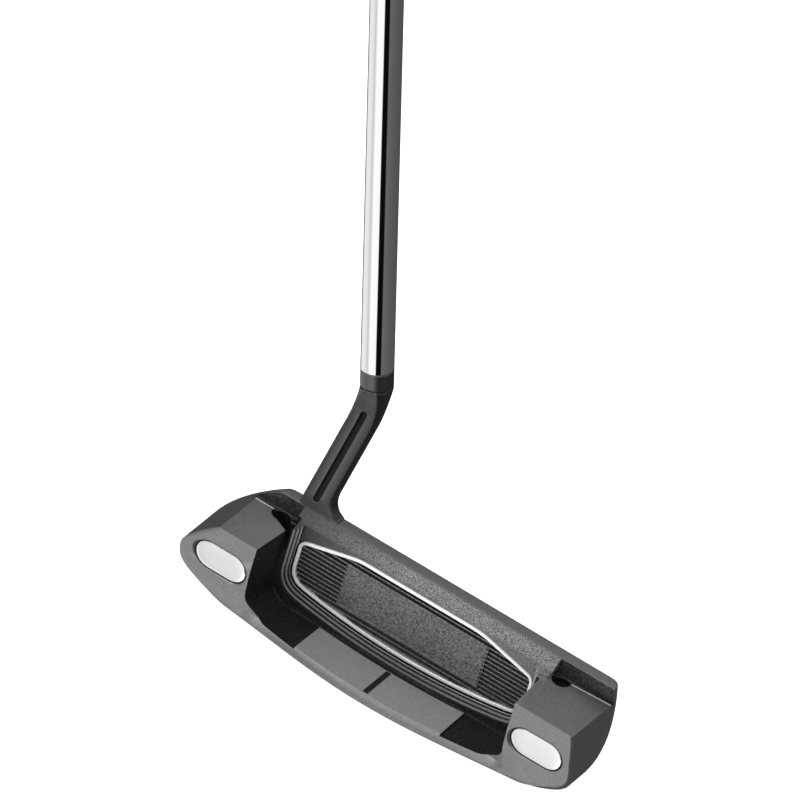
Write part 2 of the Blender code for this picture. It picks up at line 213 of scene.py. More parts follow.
def settle(obj):
    """Applies the object's modifiers and removes the tools they used."""
    tools = [m.object for m in obj.modifiers if m.type == "BOOLEAN"]
    graph = bpy.context.evaluated_depsgraph_get()
    data = bpy.data.meshes.new_from_object(obj.evaluated_get(graph))
    data.name = obj.name
    obj.modifiers.clear()
    obj.data = data
    for tool in tools:
        bpy.data.objects.remove(tool, do_unlink=True)
    return obj


def arc(centre, radius, start, end, steps):
    """Points of an arc in the plane, angles in degrees."""
    found = []
    for i in range(steps + 1):
        angle = math.radians(start + (end - start) * i / steps)
        found.append((centre[0] + radius * math.cos(angle), centre[1] + radius * math.sin(angle)))
    return found


def disc(centre, radius, count):
    """Points round a whole circle in the plane."""
    return arc(centre, radius, 0, 360, count)[:-1]


def circle(radius, height, count=96):
    """A level ring about the upright axis."""
    return [(x, y, height) for x, y in disc((0, 0), radius, count)]


def inset_loop(points, inset):
    """An anticlockwise outline moved inwards by an even distance, with mitred corners."""
    found = []
    for i, (x, z) in enumerate(points):
        before = Vector((x - points[i - 1][0], z - points[i - 1][1])).normalized()
        after = points[(i + 1) % len(points)]
        ahead = Vector((after[0] - x, after[1] - z)).normalized()
        normal = Vector((-before.y - ahead.y, before.x + ahead.x)).normalized()
        reach = inset / max(0.4, normal.dot(Vector((-before.y, before.x))))
        found.append((x + normal.x * reach, z + normal.y * reach))
    return found


def smooth(value):
    """Eases from 0 to 1 as the value does, and holds outside that range."""
    value = min(max(value, 0.0), 1.0)
    return value * value * (3 - 2 * value)


# Head


def half_length(z, toe):
    """How far the end of the head reaches at this height."""
    reach = TOE_REACH if toe else HEEL_REACH
    if z <= WIDEST_HEIGHT:
        fall = ((WIDEST_HEIGHT - z) / WIDEST_HEIGHT) ** END_ROUNDNESS
        return SOLE_FLAT_HALF + (reach - SOLE_FLAT_HALF) * (1 - fall) ** (1 / END_ROUNDNESS)
    rise = (z - WIDEST_HEIGHT) / (TOPLINE_HEIGHT - WIDEST_HEIGHT)
    most, power = TOE_DRAW_IN if toe else HEEL_DRAW_IN
    return reach - most * rise**power


def front_y(z):
    """The face leans back by the loft, and its lower edge is rounded."""
    edge = 3.0
    round_off = edge - math.sqrt(edge**2 - (edge - z) ** 2) if z < edge else 0.0
    return FACE_Y + (TOPLINE_HEIGHT - z) * math.tan(FACE_LOFT) - round_off


def rear_low(x):
    """The rear wall at the sole, bellied out in the middle."""
    return -(REAR_LOW_Y + REAR_BELLY * math.exp(-((x / 44.0) ** 2)))


def ribbon_inset(x, z):
    """The flange's rear edge slopes inwards above the foot, and fades out into the bumpers."""
    depth = DECK_REAR_Y + x * x / (2 * RIBBON_RADIUS) - rear_low(x)
    depth *= 1 - smooth((abs(x) - 34.0) / 9.0)
    rise = (z - RIBBON_FOOT) / (DECK_HEIGHT - RIBBON_FOOT)
    return depth * min(max(rise, 0.0), 1.0) * (1 - smooth((z - 5.0) / 7.0))


def rear_y(x, z):
    """The rear wall, straighter at the ends, with its lower edge rounded."""
    low = rear_low(x)
    share = min(max((z - 3.0) / 14.0, 0.0), 1.0)
    edge = 3.6 + (1.7 if x > 0 else 4.6) * (x / 50.0) ** 2
    tuck = 4.5 * (1 - math.sqrt(1 - ((edge - z) / edge) ** 2)) if z < edge else 0.0
    return low + (-REAR_TOP_Y - low) * share * min(abs(x) / 34.0, 1.0) + tuck + ribbon_inset(x, z)


def plan_outline(z, inset=0.0):
    """The head's outline at this height, anticlockwise from the heel end of the rear."""
    heel = -half_length(z, False) + inset
    toe = half_length(z, True) - inset
    front = front_y(z) - inset
    rear_toe, rear_heel = rear_y(toe, z), rear_y(heel, z)
    radius = 0.9 + 8.1 * max(0.0, 1 - z / 11.0) ** 1.5
    ahead = 2.5 + 14.5 * max(0.0, 1 - z / 30.0) ** 1.3
    room = min(1.0, 0.94 * (front - max(rear_toe, rear_heel)) / (radius + ahead))
    radius, ahead = radius * room, ahead * room
    points = []
    for i in range(97):
        x = heel + radius + (toe - heel - 2 * radius) * i / 96
        points.append((x, rear_y(x, z)))
    points += arc((toe - radius, rear_toe + radius), radius, -78, 0, 12)
    points += arc((toe - ahead, front - ahead), ahead, 0, 90, 16)
    points += arc((heel + ahead, front - ahead), ahead, 90, 180, 16)
    points += arc((heel + radius, rear_heel + radius), radius, 180, 258, 12)
    return [(x, y, z) for x, y in points]


def head_blank():
    """The solid head before it is milled, with heights closest where its lower edge is rounded."""
    low = [0.0, 0.15, 0.4, 0.8, 1.2, 1.7, 2.2, 2.7, 3.2, 3.7, 4.2, 4.8, 5.5, 6.5, 7.5]
    high = [9 + 1.25 * i for i in range(16)]
    rings = [plan_outline(z) for z in low + high + [TOPLINE_HEIGHT - TOPLINE_CHAMFER]]
    rings.append(plan_outline(TOPLINE_HEIGHT, TOPLINE_CHAMFER))
    return loft("milled_head", rings)


def cavity_stations():
    """Distance along the head and floor lift round the cavity's lower corner."""
    found = []
    for i in range(15):
        turn = math.radians(84.0 * i / 14)
        along = CAVITY_HALF - CAVITY_CORNER * (1 - math.sin(turn))
        found.append((along, CAVITY_CORNER * (1 - math.cos(turn))))
    return found


def cavity_profile(x, floor):
    """Side view of the milled cavity at one station along the head."""
    side = CAVITY_SPLAY * max(abs(x) - CAVITY_HALF + CAVITY_CORNER, 0) / CAVITY_CORNER
    points = [(CAVITY_FRONT_Y, 40.0), (CAVITY_FRONT_Y, floor + 0.5)]
    points += [(CAVITY_FRONT_Y - 0.15, floor + 0.15), (CAVITY_FRONT_Y - 0.5, floor)]
    points += [(-20.0, floor), (-20.0, 40.0)]
    return [(x + math.copysign(side, x) * (WALL_Y - y) / 17, y, z) for y, z in points]


def deck_outline():
    """The raised sighting deck: its front edge bows to the rear, and it runs out through the rear."""
    points = [(-DECK_HALF, -30.0), (DECK_HALF, -30.0)]
    for i in range(25):
        x = DECK_HALF - 2 * DECK_HALF * i / 24
        points.append((x * 0.98, DECK_FRONT_Y - 1.2 * (1 - (x / DECK_HALF) ** 2)))
    return points


def cut_cavity(head):
    """Mills the cavity and leaves the raised deck standing in it."""
    rings = [cavity_profile(-x, FLOOR_HEIGHT + lift) for x, lift in cavity_stations()[::-1]]
    rings += [cavity_profile(x, FLOOR_HEIGHT + lift) for x, lift in cavity_stations()]
    cavity = loft("cavity_tool", rings)
    cut(cavity, prism_z("deck_tool", deck_outline(), -1.0, DECK_HEIGHT))
    cut(head, settle(cavity))


def open_outline(grow):
    """The badge's lower outline grown outwards and left open to the top, for the ledges under it."""
    closed = inset_loop(badge_points(), -grow)
    half = BADGE_HALF + grow
    lower = [p for p in closed if p[1] < BADGE_CORNER - 3.0]
    lower.sort(key=lambda p: p[0])
    return [(-half, 40.0)] + lower + [(half, 40.0)]


def cut_wall(head):
    """Mills the badge wall, the ledges round its foot, and the blasted slope up to the topline."""
    for number, (grow, depth) in enumerate(((0.05, WALL_Y),) + LEDGES):
        cut(head, prism_y(f"ledge_tool_{number}", open_outline(grow), LEDGE_REAR_Y, depth))
    slope = [(TOPLINE_INNER_Y, 45.0), (TOPLINE_INNER_Y, TOPLINE_HEIGHT - 0.25)]
    slope += [(WALL_Y, BADGE_TOP + 0.35), (0.6, CORNER_LEVEL), (0.6, 45.0)]
    cut(head, prism_x("slope_tool", slope, -HEEL_STEP_X - 0.1, TOE_STEP_X + 0.1))
    cut(head, prism_y("badge_seat_tool", inset_loop(badge_points(), -0.3), 2.0, WALL_Y + 1.2))


def cut_bumpers(head):
    """Steps the bumpers down behind the topline and mills the channels and plunge marks."""
    sides = (
        (-1, "heel", HEEL_STEP_X, CHANNEL_Y, PLUNGE_FLOOR),
        (1, "toe", TOE_STEP_X, CHANNEL_Y + TOE_CHANNEL_SKEW, TOE_PLUNGE_FLOOR),
    )
    for side, word, near, far_y, floor in sides:
        cut(head, step_tool(side, word, near))
        cut(head, channel_tool(side, word, near, far_y))
        cut(head, plunge_tool(side, word, floor))
        cut(head, edge_tool(side, word, far_y))
    cut(head, heel_corner_tool())


# The tools below end at different heights above the head, so that none of their faces coincide.


def step_tool(side, word, near):
    """Takes a bumper down from the topline's height."""
    step = [(BUMPER_INNER_X, PAST_REAR), (PAST_END, PAST_REAR), (PAST_END, TOPLINE_INNER_Y)]
    step += [(near, TOPLINE_INNER_Y), (near, BUMPER_FRONT_Y), (BUMPER_INNER_X, BUMPER_FRONT_Y)]
    return prism_z(f"{word}_bumper_tool", [(side * x, y) for x, y in step], BUMPER_HEIGHT, 45.0)


def channel_tool(side, word, near, far_y):
    """The shallow channel between bumper and topline, its rear edge running to far_y at the end."""
    channel = [(near, CHANNEL_Y - CHANNEL_LEAD), (PAST_END, far_y)]
    channel += [(PAST_END, TOPLINE_INNER_Y), (near, TOPLINE_INNER_Y)]
    return prism_z(f"{word}_channel_tool", [(side * x, y) for x, y in channel], CHANNEL_FLOOR, 42.0)


def plunge_tool(side, word, floor):
    """The round mark where the cutter went down at the channel's inner end."""
    x, y, radius = PLUNGE
    return prism_z(f"{word}_plunge_tool", disc((side * x, y), radius, 48), floor, 41.0)


def heel_corner_tool():
    """Opens the heel's plunge mark towards the cavity."""
    x, y, radius = PLUNGE
    rear, front = y - radius, CHANNEL_Y - CHANNEL_LEAD
    corner = [(0.1 - BUMPER_INNER_X, -0.1), (-x, rear), (-x, front), (0.1 - BUMPER_INNER_X, front)]
    return prism_z("heel_corner_tool", corner, PLUNGE_FLOOR + 0.01, 41.5)


def edge_tool(side, word, far_y):
    """Chamfers the bumper's front edge, where head_zone puts a painted highlight."""
    rings = []
    slant = (far_y - CHANNEL_Y + CHANNEL_LEAD) / (PAST_END - HEEL_STEP_X)
    for reach in (44.2, 62.0):
        front = CHANNEL_Y - CHANNEL_LEAD + slant * (reach - HEEL_STEP_X)
        section = [(front + 0.6, BUMPER_HEIGHT - 0.45), (front + 0.6, 30.0), (front - 0.85, 30.0)]
        section.append((front - 0.85, BUMPER_HEIGHT + 0.02))
        rings.append([(side * reach, y, z) for y, z in section])
    return loft(f"{word}_edge_tool", rings)


def weight_outline(side, inset, steps=24):
    """A stadium lying along the pad, in the XZ plane."""
    radius = WEIGHT_WIDTH / 2 - inset
    reach = (WEIGHT_LENGTH - WEIGHT_WIDTH) / 2
    points = arc((side * WEIGHT_X + reach, WEIGHT_HEIGHT), radius, -90, 90, steps)
    return points + arc((side * WEIGHT_X - reach, WEIGHT_HEIGHT), radius, 90, 270, steps)


def pad_y(side, x, z):
    """The pad's surface near the weight, taken as a plane."""
    middle = side * WEIGHT_X
    here = rear_y(middle, WEIGHT_HEIGHT)
    lean = (rear_y(middle, WEIGHT_HEIGHT + 4) - rear_y(middle, WEIGHT_HEIGHT - 4)) / 8
    sweep = (rear_y(middle + 5, WEIGHT_HEIGHT) - rear_y(middle - 5, WEIGHT_HEIGHT)) / 10
    return here + lean * (z - WEIGHT_HEIGHT) + sweep * (x - middle)


def stadium_ring(side, inset, depth):
    """The weight's outline, this far in from its edge and this deep under the pad."""
    return [(x, pad_y(side, x, z) + depth, z) for x, z in weight_outline(side, inset)]


def cut_weight_pockets(head):
    """Pockets with a flared lip, for the weights."""
    for side, word in ((-1, "heel"), (1, "toe")):
        rings = [stadium_ring(side, -0.75, -3.0), stadium_ring(side, -0.62, -0.1)]
        rings += [stadium_ring(side, 0.0, 0.5), stadium_ring(side, 0.0, 7.0)]
        cut(head, loft(f"{word}_pocket_tool", rings))


def make_head():
    """The milled head: its blank with everything cut out of it."""
    head = head_blank()
    cut_bumpers(head)
    cut_cavity(head)
    cut_wall(head)
    cut_weight_pockets(head)
    cut(head, prism_z("sight_tool", sight_bar(0.0), DECK_HEIGHT - 0.9, 9.0))
    settle(head)
    soften(head, angle=24.0)
    return head


def sight_bar(inset):
    """The sight line's outline on the deck."""
    half, low, high = 0.75 - inset, -12.1 + inset, -0.7 - inset
    return [(-half, low), (half, low), (half, high), (-half, high)]


# CAVITY and CHANNEL are darker copies as painted shade, DECK and LEDGE lighter copies as painted light, EDGE
# a painted highlight.
SATIN, SLOPE, CAVITY, DECK, LEDGE, EDGE, CHANNEL = range(7)


def head_zone(centre, normal):
    """Which finish a face of the head has, told by where it lies and how it faces; some finishes are painted
    light and painted shade.
    """
    x, y, z = centre / MM
    reach = abs(x)
    near_channel = CHANNEL_Y - 1.6 < y < TOPLINE_INNER_Y - 0.1
    tilted = 0.5 < normal.z < 0.985
    # Painted highlight: the bumper's chamfered front edge gets a near-white material.
    if reach > 44 and near_channel and tilted and abs(z - BUMPER_HEIGHT) < 0.35:
        return EDGE
    if reach < TOE_STEP_X + 0.2 and z > CORNER_LEVEL - 0.05 and 0.0 < y < TOPLINE_INNER_Y + 0.02:
        # Steep faces of the slope get the near-black copy as painted shade.
        return SLOPE if normal.z > 0.2 or z > BADGE_TOP else CAVITY
    in_channel = CHANNEL_Y - 0.7 < y < TOPLINE_INNER_Y + 0.02 and reach > BUMPER_INNER_X - 0.1
    # Painted shade: the channel's walls and floor get a darker copy of the blasted steel.
    if in_channel and z > CHANNEL_FLOOR - 0.1:
        return SATIN if abs(z - BUMPER_HEIGHT) < 0.02 else CHANNEL
    # Painted light: the deck gets a lighter, less metallic copy of the satin steel.
    if abs(z - DECK_HEIGHT) < 0.02 and normal.z > 0.9 and reach < DECK_HALF:
        return DECK
    # Painted light: the ledges' rear faces get a lighter copy of the satin steel.
    if normal.y < -0.9 and CAVITY_FRONT_Y + 0.1 < y < WALL_Y + 0.05 and reach < CAVITY_HALF:
        return LEDGE if y < WALL_Y - 0.1 and (x < 34 or z < 15) else SLOPE
    # Painted shade: near-black in the cavity and the plunge marks.
    return CAVITY if in_cavity(x, y, z, normal) or in_plunge(x, y, z) else SATIN


def in_cavity(x, y, z, normal):
    """Inside the milled cavity, apart from the head's own rear wall."""
    rear_wall = normal.y < -0.5 and y < -7.0
    level = FLOOR_HEIGHT - 0.1 < z < BADGE_TOP + 0.6
    return abs(x) < CAVITY_HALF + 1.4 and level and -13.0 < y < 6.5 and not rear_wall


def in_plunge(x, y, z):
    """On the walls or the floor of a plunge mark."""
    return PLUNGE_FLOOR - 0.1 < z < BUMPER_HEIGHT - 0.02 and abs(x) < 44.9 and 0.5 < y < 8.2


# Badge and weights


def turned(before, corner, after, reach, steps=7):
    """A corner rounded off over this reach along both of its sides."""
    before, corner, after = (Vector(p) for p in (before, corner, after))
    start = corner + (before - corner).normalized() * reach
    end = corner + (after - corner).normalized() * reach
    found = []
    for i in range(steps + 1):
        t = i / steps
        found.append(tuple(start * (1 - t) ** 2 + corner * 2 * t * (1 - t) + end * t * t))
    return found


def badge_points():
    """The badge seen from behind: sloped shoulders, upright sides and a bowed lower edge."""
    reach = BADGE_HALF - 4.6
    points = []
    for i in range(33):
        x = -reach + 2 * reach * i / 32
        points.append((x, BADGE_BOTTOM + x * x / (2 * BADGE_RADIUS)))
    low = (BADGE_HALF, points[-1][1] + 4.6 * reach / BADGE_RADIUS)
    side, shoulder = (BADGE_HALF, BADGE_CORNER), (BADGE_SHOULDER, BADGE_TOP)
    right = turned(points[-1], low, side, 4.6)[1:]
    right += turned(low, side, shoulder, 2.1)
    right += turned(side, shoulder, (-BADGE_SHOULDER, BADGE_TOP), 2.6)
    return points + right + [(-x, z) for x, z in right[::-1]]


def badge_ring(inset, y):
    """The badge's outline, this far in from its edge."""
    return [(x, y, z) for x, z in inset_loop(badge_points(), inset)]


def make_rim():
    """The bright rim, with bevelled edges."""
    w, rear, front = RIM_WIDTH, 4.56, BADGE_FRONT_Y
    section = [(0.0, front), (0.0, rear + 0.1), (0.1, rear)]
    section += [(w - 0.1, rear), (w, rear + 0.1), (w, front)]
    return ring_sweep("badge_bright_rim", [badge_ring(inset, y) for inset, y in section])


def rib_heights():
    """The height of each groove between ribs."""
    count = int((BADGE_TOP - BADGE_BOTTOM) / RIB_PITCH)
    return [BADGE_BOTTOM + 0.9 + RIB_PITCH * i for i in range(count)]


def make_badge_plate():
    """The dark plate, cut with fine grooves so that ribs stand between them."""
    plate = loft("badge_ribbed_plate", [badge_ring(RIM_WIDTH + 0.12, y) for y in (PLATE_Y, BADGE_FRONT_Y)])
    for number, z in enumerate(rib_heights()):
        upper = [(PLATE_Y - 1, z + 0.75), (PLATE_Y + 0.05, z + 0.48), (PLATE_Y + 0.5, z + 0.12)]
        groove = [(PLATE_Y - 1, z - 0.75)] + upper + [(PLATE_Y + 0.5, z - 0.12), (PLATE_Y + 0.05, z - 0.48)]
        cut(plate, prism_x(f"rib_tool_{number}", groove, -40.0, 40.0))
    return soften_settled(plate)


def soften_settled(obj):
    """Applies the cuts and shades the result."""
    settle(obj)
    soften(obj)
    return obj


def panel_ring(inset, y):
    """The centre panel's outline with rounded corners, this far in from its edge."""
    half, tall = PANEL_HALF - inset, (PANEL_HIGH - PANEL_LOW) / 2 - inset
    middle, r = (PANEL_LOW + PANEL_HIGH) / 2, max(0.9 - inset, 0.15)
    corners = ((half - r, tall - r), (r - half, tall - r), (r - half, r - tall), (half - r, r - tall))
    points = []
    for number, (x, z) in enumerate(corners):
        points += arc((x, middle + z), r, 90 * number, 90 * number + 90, 5)
    return [(x, y, z) for x, z in points]


def make_badge_panel():
    """The plain raised field in the middle of the badge, with a stepped border and edge dimples."""
    section = ((0.0, 5.6), (0.0, 4.84), (0.12, 4.72), (0.75, 4.72), (0.87, 4.8), (1.0, 4.8))
    panel = loft("badge_centre_panel", [panel_ring(inset, y) for inset, y in section])
    for side in (-1, 1):
        for z in rib_heights():
            if PANEL_LOW + 0.8 < z < PANEL_HIGH - 0.8:
                dot = disc((side * (PANEL_HALF - 0.38), z), 0.26, 12)
                cut(panel, prism_y(f"dimple_tool_{side}_{z:.1f}", dot, 4.0, 5.2))
    return soften_settled(panel)


def make_weight(side, word):
    """A polished plug with a rolled edge and a faint crown."""
    section = ((0.3, 6.7), (0.3, 0.75), (0.38, 0.56), (0.6, 0.44), (1.4, 0.40), (2.8, 0.38))
    return loft(f"{word}_weight_plug", [stadium_ring(side, inset, depth) for inset, depth in section])


def make_sight_line():
    """Paint fill of the sight line, its top slightly sunk in the middle."""
    top = DECK_HEIGHT - 0.1
    section = ((0.04, top - 0.7), (0.04, top), (0.3, top - 0.06))
    return loft("sight_line_paint", [[(x, y, z) for x, y in sight_bar(inset)] for inset, z in section])


# Neck


def rounded_rectangle(cx, cy, half_x, half_y, radius, z, steps=6):
    """A level ring with rounded corners."""
    corners = ((1, -1, -90), (1, 1, 0), (-1, 1, 90), (-1, -1, 180))
    points = []
    for sx, sy, start in corners:
        centre = (cx + sx * (half_x - radius), cy + sy * (half_y - radius))
        points += arc(centre, radius, start, start + 90, steps)
    return [(x, y, z) for x, y in points]


def axis_point(distance):
    """A point on the shaft's centre line, measured up from its foot."""
    return SHAFT_FOOT + Vector((-math.cos(LIE), 0, math.sin(LIE))) * distance


def axis_ring(radius, distance):
    """A ring square to the shaft, its points in step with a rounded rectangle's."""
    across = Vector((math.sin(LIE), 0, math.cos(LIE)))
    ring = []
    for x, y, _ in rounded_rectangle(0, 0, radius, radius, radius / 2, 0):
        angle = math.atan2(y, x)
        sideways = Vector((0, radius * math.sin(angle), 0))
        ring.append(axis_point(distance) + across * radius * math.cos(angle) + sideways)
    return ring


def neck_ends():
    """Foot and top of the neck's centre line."""
    return NECK_BASE + Vector((0, 0, 0.05)), axis_point(-FERRULE_LENGTH - 4.0)


def neck_bar_rings():
    """The rectangular bar, flared towards the toe at its foot."""
    foot, top = neck_ends()
    levels = [(0.0, 4.2), (0.01, 3.3), (0.022, 2.5), (0.04, 1.7), (0.06, 1.05), (0.085, 0.55)]
    levels += [(0.115, 0.2), (0.16, 0.0), (0.3, 0.0), (0.5, 0.0), (0.7, 0.0), (NECK_BAR_SHARE, 0.0)]
    half_x, half_y = NECK_WIDTH / 2, NECK_DEPTH / 2
    rings = []
    for share, flare in levels:
        centre = foot.lerp(top, share)
        slim = 0.27 * (1 - min(share / 0.06, 1.0))
        bar = (centre.x + flare / 2, centre.y - slim / 2, half_x + flare / 2, half_y - slim)
        rings.append(rounded_rectangle(*bar, 1.0, centre.z))
    return rings


def neck_top_rings():
    """The bar turns into a round collar, with a narrow recess above it."""
    foot, top = neck_ends()
    collar = axis_ring(TIP_RADIUS, -FERRULE_LENGTH - RECESS_HEIGHT)
    rings = []
    for step in range(1, 9):
        centre = foot.lerp(top, NECK_BAR_SHARE + 0.025 * step)
        bar = rounded_rectangle(centre.x, centre.y, NECK_WIDTH / 2, NECK_DEPTH / 2, 1.0, centre.z)
        rings.append([Vector(a).lerp(b, smooth(step / 8)) for a, b in zip(bar, collar)])
    return rings + [axis_ring(TIP_RADIUS - 0.3, -FERRULE_LENGTH - drop) for drop in (0.5, 0.12)]


def neck_groove_tool():
    """A slot with round ends down the back of the neck."""
    foot, top = neck_ends()
    along = (top - foot).normalized()
    radius, back = 0.9, -NECK_DEPTH / 2
    outline = []
    for share, facing in ((0.10, math.pi), (0.88, 0.0)):
        centre = foot.lerp(top, share)
        for i in range(13):
            turn = math.pi * i / 12 + facing
            sideways = Vector((radius * math.cos(turn), 0, 0))
            outline.append(centre + along * radius * math.sin(turn) + sideways)
    rings = [[p + Vector((0, y, 0)) for p in outline] for y in (back - 2.0, back + 1.0)]
    return loft("neck_groove_tool", rings)


def make_neck():
    """A slanted bar with a groove, rising from the topline to the shaft's collar."""
    neck = loft("slant_neck", neck_bar_rings() + neck_top_rings())
    cut(neck, neck_groove_tool())
    return soften_settled(neck)


def is_recess(centre):
    """Whether a face of the neck lies in its groove or in the turned recess under the collar."""
    along = (centre - SHAFT_FOOT).dot(axis_point(1.0) - SHAFT_FOOT)
    if along > -FERRULE_LENGTH - RECESS_HEIGHT:
        return True
    foot, top = neck_ends()
    line = foot.lerp(top, (centre.z - foot.z) / (top.z - foot.z))
    depth = centre.y - (line.y - NECK_DEPTH / 2)
    side_gap = NECK_WIDTH / 2 - abs(centre.x - line.x)
    return 32.0 < centre.z < 60.0 and depth > 0.12 and side_gap > 1.9


# Shaft and grip, modelled upright and then set at the lie angle


def stand_on_axis(obj):
    """Moves a mesh modelled upright onto the shaft's line."""
    turn = Matrix.Rotation(LIE - math.pi / 2, 4, "Y")
    obj.data.transform(Matrix.Translation(SHAFT_FOOT * MM) @ turn)
    return obj


def shaft_radius(height):
    """The shaft is plain at its tip and widens in steps above that."""
    if height <= PLAIN_TIP:
        return TIP_RADIUS
    step = math.ceil((height - PLAIN_TIP) / STEP_LENGTH)
    return TIP_RADIUS + (BUTT_RADIUS - TIP_RADIUS) * min(step, STEPS) / STEPS


def make_shaft():
    """A stepped tube, open at both ends."""
    heights = [0.02, 0.25, PLAIN_TIP]
    for step in range(STEPS):
        start = PLAIN_TIP + STEP_LENGTH * step
        heights += [start + 0.25, start + 0.9, start + STEP_LENGTH]
    heights = [z for z in heights if z < SHAFT_LENGTH] + [SHAFT_LENGTH]
    outer = []
    for z in heights:
        chamfer = 0.18 if z < 0.1 else 0.0
        outer.append(circle(shaft_radius(z) - chamfer, z))
    inner = [circle(shaft_radius(z) - 0.8, z) for z in (heights[0], PLAIN_TIP, SHAFT_LENGTH)]
    return stand_on_axis(ring_sweep("chrome_shaft", outer + inner[::-1]))


def make_collar():
    """The black ring between neck and shaft, chamfered at both ends."""
    r, bore, low = TIP_RADIUS, 3.45, -FERRULE_LENGTH
    profile = [(r - 0.12, low + 0.02), (r, low + 0.14), (r, -0.16), (r - 0.14, -0.02)]
    profile += [(bore, -0.02), (bore, low + 0.02)]
    return stand_on_axis(ring_sweep("black_collar", [circle(radius, z) for radius, z in profile]))


def grip_section(height, grow=0.0):
    """Pistol section, evenly spaced in angle: an oval cut flat in front, its palm side swelling upwards."""
    share = min(max(height / GRIP_LENGTH, 0.0), 1.0)
    half = (GRIP_WIDTH - 5.0 + 5.0 * share) / 2 + grow
    palm = 11.0 + (GRIP_DEPTH - 23.0) * share**1.7 + grow
    front = 10.6 + 1.4 * share + grow
    base = SHAFT_LENGTH - GRIP_LENGTH
    points = []
    for i in range(96):
        angle = math.tau * i / 96
        reach = palm if math.cos(angle) < 0 else front * 1.35
        radius = 1 / math.hypot(math.cos(angle) / reach, math.sin(angle) / half)
        if math.cos(angle) > 0:
            flat = front / math.cos(angle)
            radius = soft_least(radius, min(flat, 60.0))
        points.append((radius * math.cos(angle), radius * math.sin(angle), height + base))
    return points


def soft_least(first, second, blend=0.35):
    """The lesser of two lengths, with the change from one to the other rounded off."""
    return -math.log(math.exp(-first / blend) + math.exp(-second / blend)) * blend


def make_grip():
    """Rubber sleeve with a rolled lower lip and shallow rings pressed round it."""
    lip = ((0.0, -0.9), (0.35, -0.25), (1.2, 0.0), (3.0, 0.0))
    pressed = ((0.0, 0.0), (0.5, -0.28), (1.1, -0.28), (1.6, 0.0))
    shell = [grip_section(z, grow) for z, grow in lip]
    for i in range(60):
        start = 8.0 + 4.2 * i
        shell += [grip_section(start + z, grow) for z, grow in pressed]
    shell.append(grip_section(GRIP_LENGTH))
    low, high = shell[0][0][2], shell[-1][0][2]
    bore = [circle(BUTT_RADIUS + 1.1, high), circle(BUTT_RADIUS + 1.1, low)]
    return stand_on_axis(ring_sweep("grip_rubber_sleeve", shell + bore))


def make_tape():
    """Tape wound on the shaft under the grip, slightly uneven along its length."""
    foot = SHAFT_LENGTH - GRIP_LENGTH
    heights = range(int(foot) + 3, int(SHAFT_LENGTH) - 2, 2)
    outer = [circle(BUTT_RADIUS + 0.8 + 0.05 * math.sin(z * 1.9), z) for z in heights]
    inner = [circle(BUTT_RADIUS + 0.3, outer[-1][0][2]), circle(BUTT_RADIUS + 0.3, outer[0][0][2])]
    return stand_on_axis(ring_sweep("under_grip_tape", outer + inner))


def make_cap():
    """End cap with a rolled edge, a shallow dish and a small vent hole."""
    levels = [(0.3, 0.985), (0.5, 1.0), (1.9, 1.0), (2.7, 0.97)]
    levels += [(3.2, 0.9), (3.3, 0.8), (3.15, 0.7), (3.1, 0.1)]
    base = grip_section(GRIP_LENGTH, -0.2)
    rings = [[(x * scale, y * scale, z + lift) for x, y, z in base] for lift, scale in levels]
    cap = loft("grip_end_cap", rings)
    cut(cap, loft("vent_tool", [circle(1.2, SHAFT_LENGTH + z, 32) for z in (1.6, 6.0)]))
    return stand_on_axis(soften_settled(cap))


# Materials


def principled(name, colour, metallic, roughness):
    """A new material and its shader."""
    made = bpy.data.materials.new(name)
    made.use_nodes = True
    shader = made.node_tree.nodes["Principled BSDF"]
    shader.inputs["Base Color"].default_value = (*colour, 1.0)
    shader.inputs["Metallic"].default_value = metallic
    shader.inputs["Roughness"].default_value = roughness
    made.diffuse_color = (*colour, 1.0)
    return made, shader


def node(tree, kind, **settings):
    """A new shader node, each setting going to its property or its input of that name."""
    made = tree.nodes.new(kind)
    for key, value in settings.items():
        if hasattr(made, key):
            setattr(made, key, value)
        else:
            made.inputs[key].default_value = value
    return made


def noise(tree, scale, detail=4.0, rough=0.55, stretch=None):
    """Noise in the piece's own coordinates; scale is features per metre."""
    source = node(tree, "ShaderNodeTexCoord").outputs["Object"]
    if stretch:
        mapping = node(tree, "ShaderNodeMapping")
        mapping.inputs["Scale"].default_value = stretch
        tree.links.new(source, mapping.inputs["Vector"])
        source = mapping.outputs["Vector"]
    made = node(tree, "ShaderNodeTexNoise")
    made.inputs["Scale"].default_value = scale
    made.inputs["Detail"].default_value = detail
    made.inputs["Roughness"].default_value = rough
    tree.links.new(source, made.inputs["Vector"])
    return made.outputs["Fac"]


def spread(tree, source, low, high, new_low, new_high):
    """Maps one range of values to another, clamped."""
    made = node(tree, "ShaderNodeMapRange")
    tree.links.new(source, made.inputs["Value"])
    for key, value in (("From Min", low), ("From Max", high), ("To Min", new_low), ("To Max", new_high)):
        made.inputs[key].default_value = value
    return made.outputs["Result"]


def blend_colour(tree, factor, first, second):
    """Mixes two colours; the first may also be a socket."""
    made = node(tree, "ShaderNodeMix", data_type="RGBA")
    if isinstance(first, tuple):
        made.inputs[6].default_value = (*first, 1.0)
    else:
        tree.links.new(first, made.inputs[6])
    made.inputs[7].default_value = (*second, 1.0)
    tree.links.new(factor, made.inputs[0])
    return made.outputs[2]


def grey(value):
    """A neutral colour of this brightness."""
    return (value, value, value)


def rounded_edges(tree, radius):
    """Shades edges as if they were rounded to this radius in millimetres."""
    made = node(tree, "ShaderNodeBevel", samples=6)
    made.inputs["Radius"].default_value = radius * MM
    return made.outputs["Normal"]


def bump(tree, height, distance, strength, normal=None):
    """Relief from a height socket, this many millimetres deep."""
    made = node(tree, "ShaderNodeBump")
    made.inputs["Distance"].default_value = distance * MM
    made.inputs["Strength"].default_value = strength
    tree.links.new(height, made.inputs["Height"])
    if normal:
        tree.links.new(normal, made.inputs["Normal"])
    return made.outputs["Normal"]


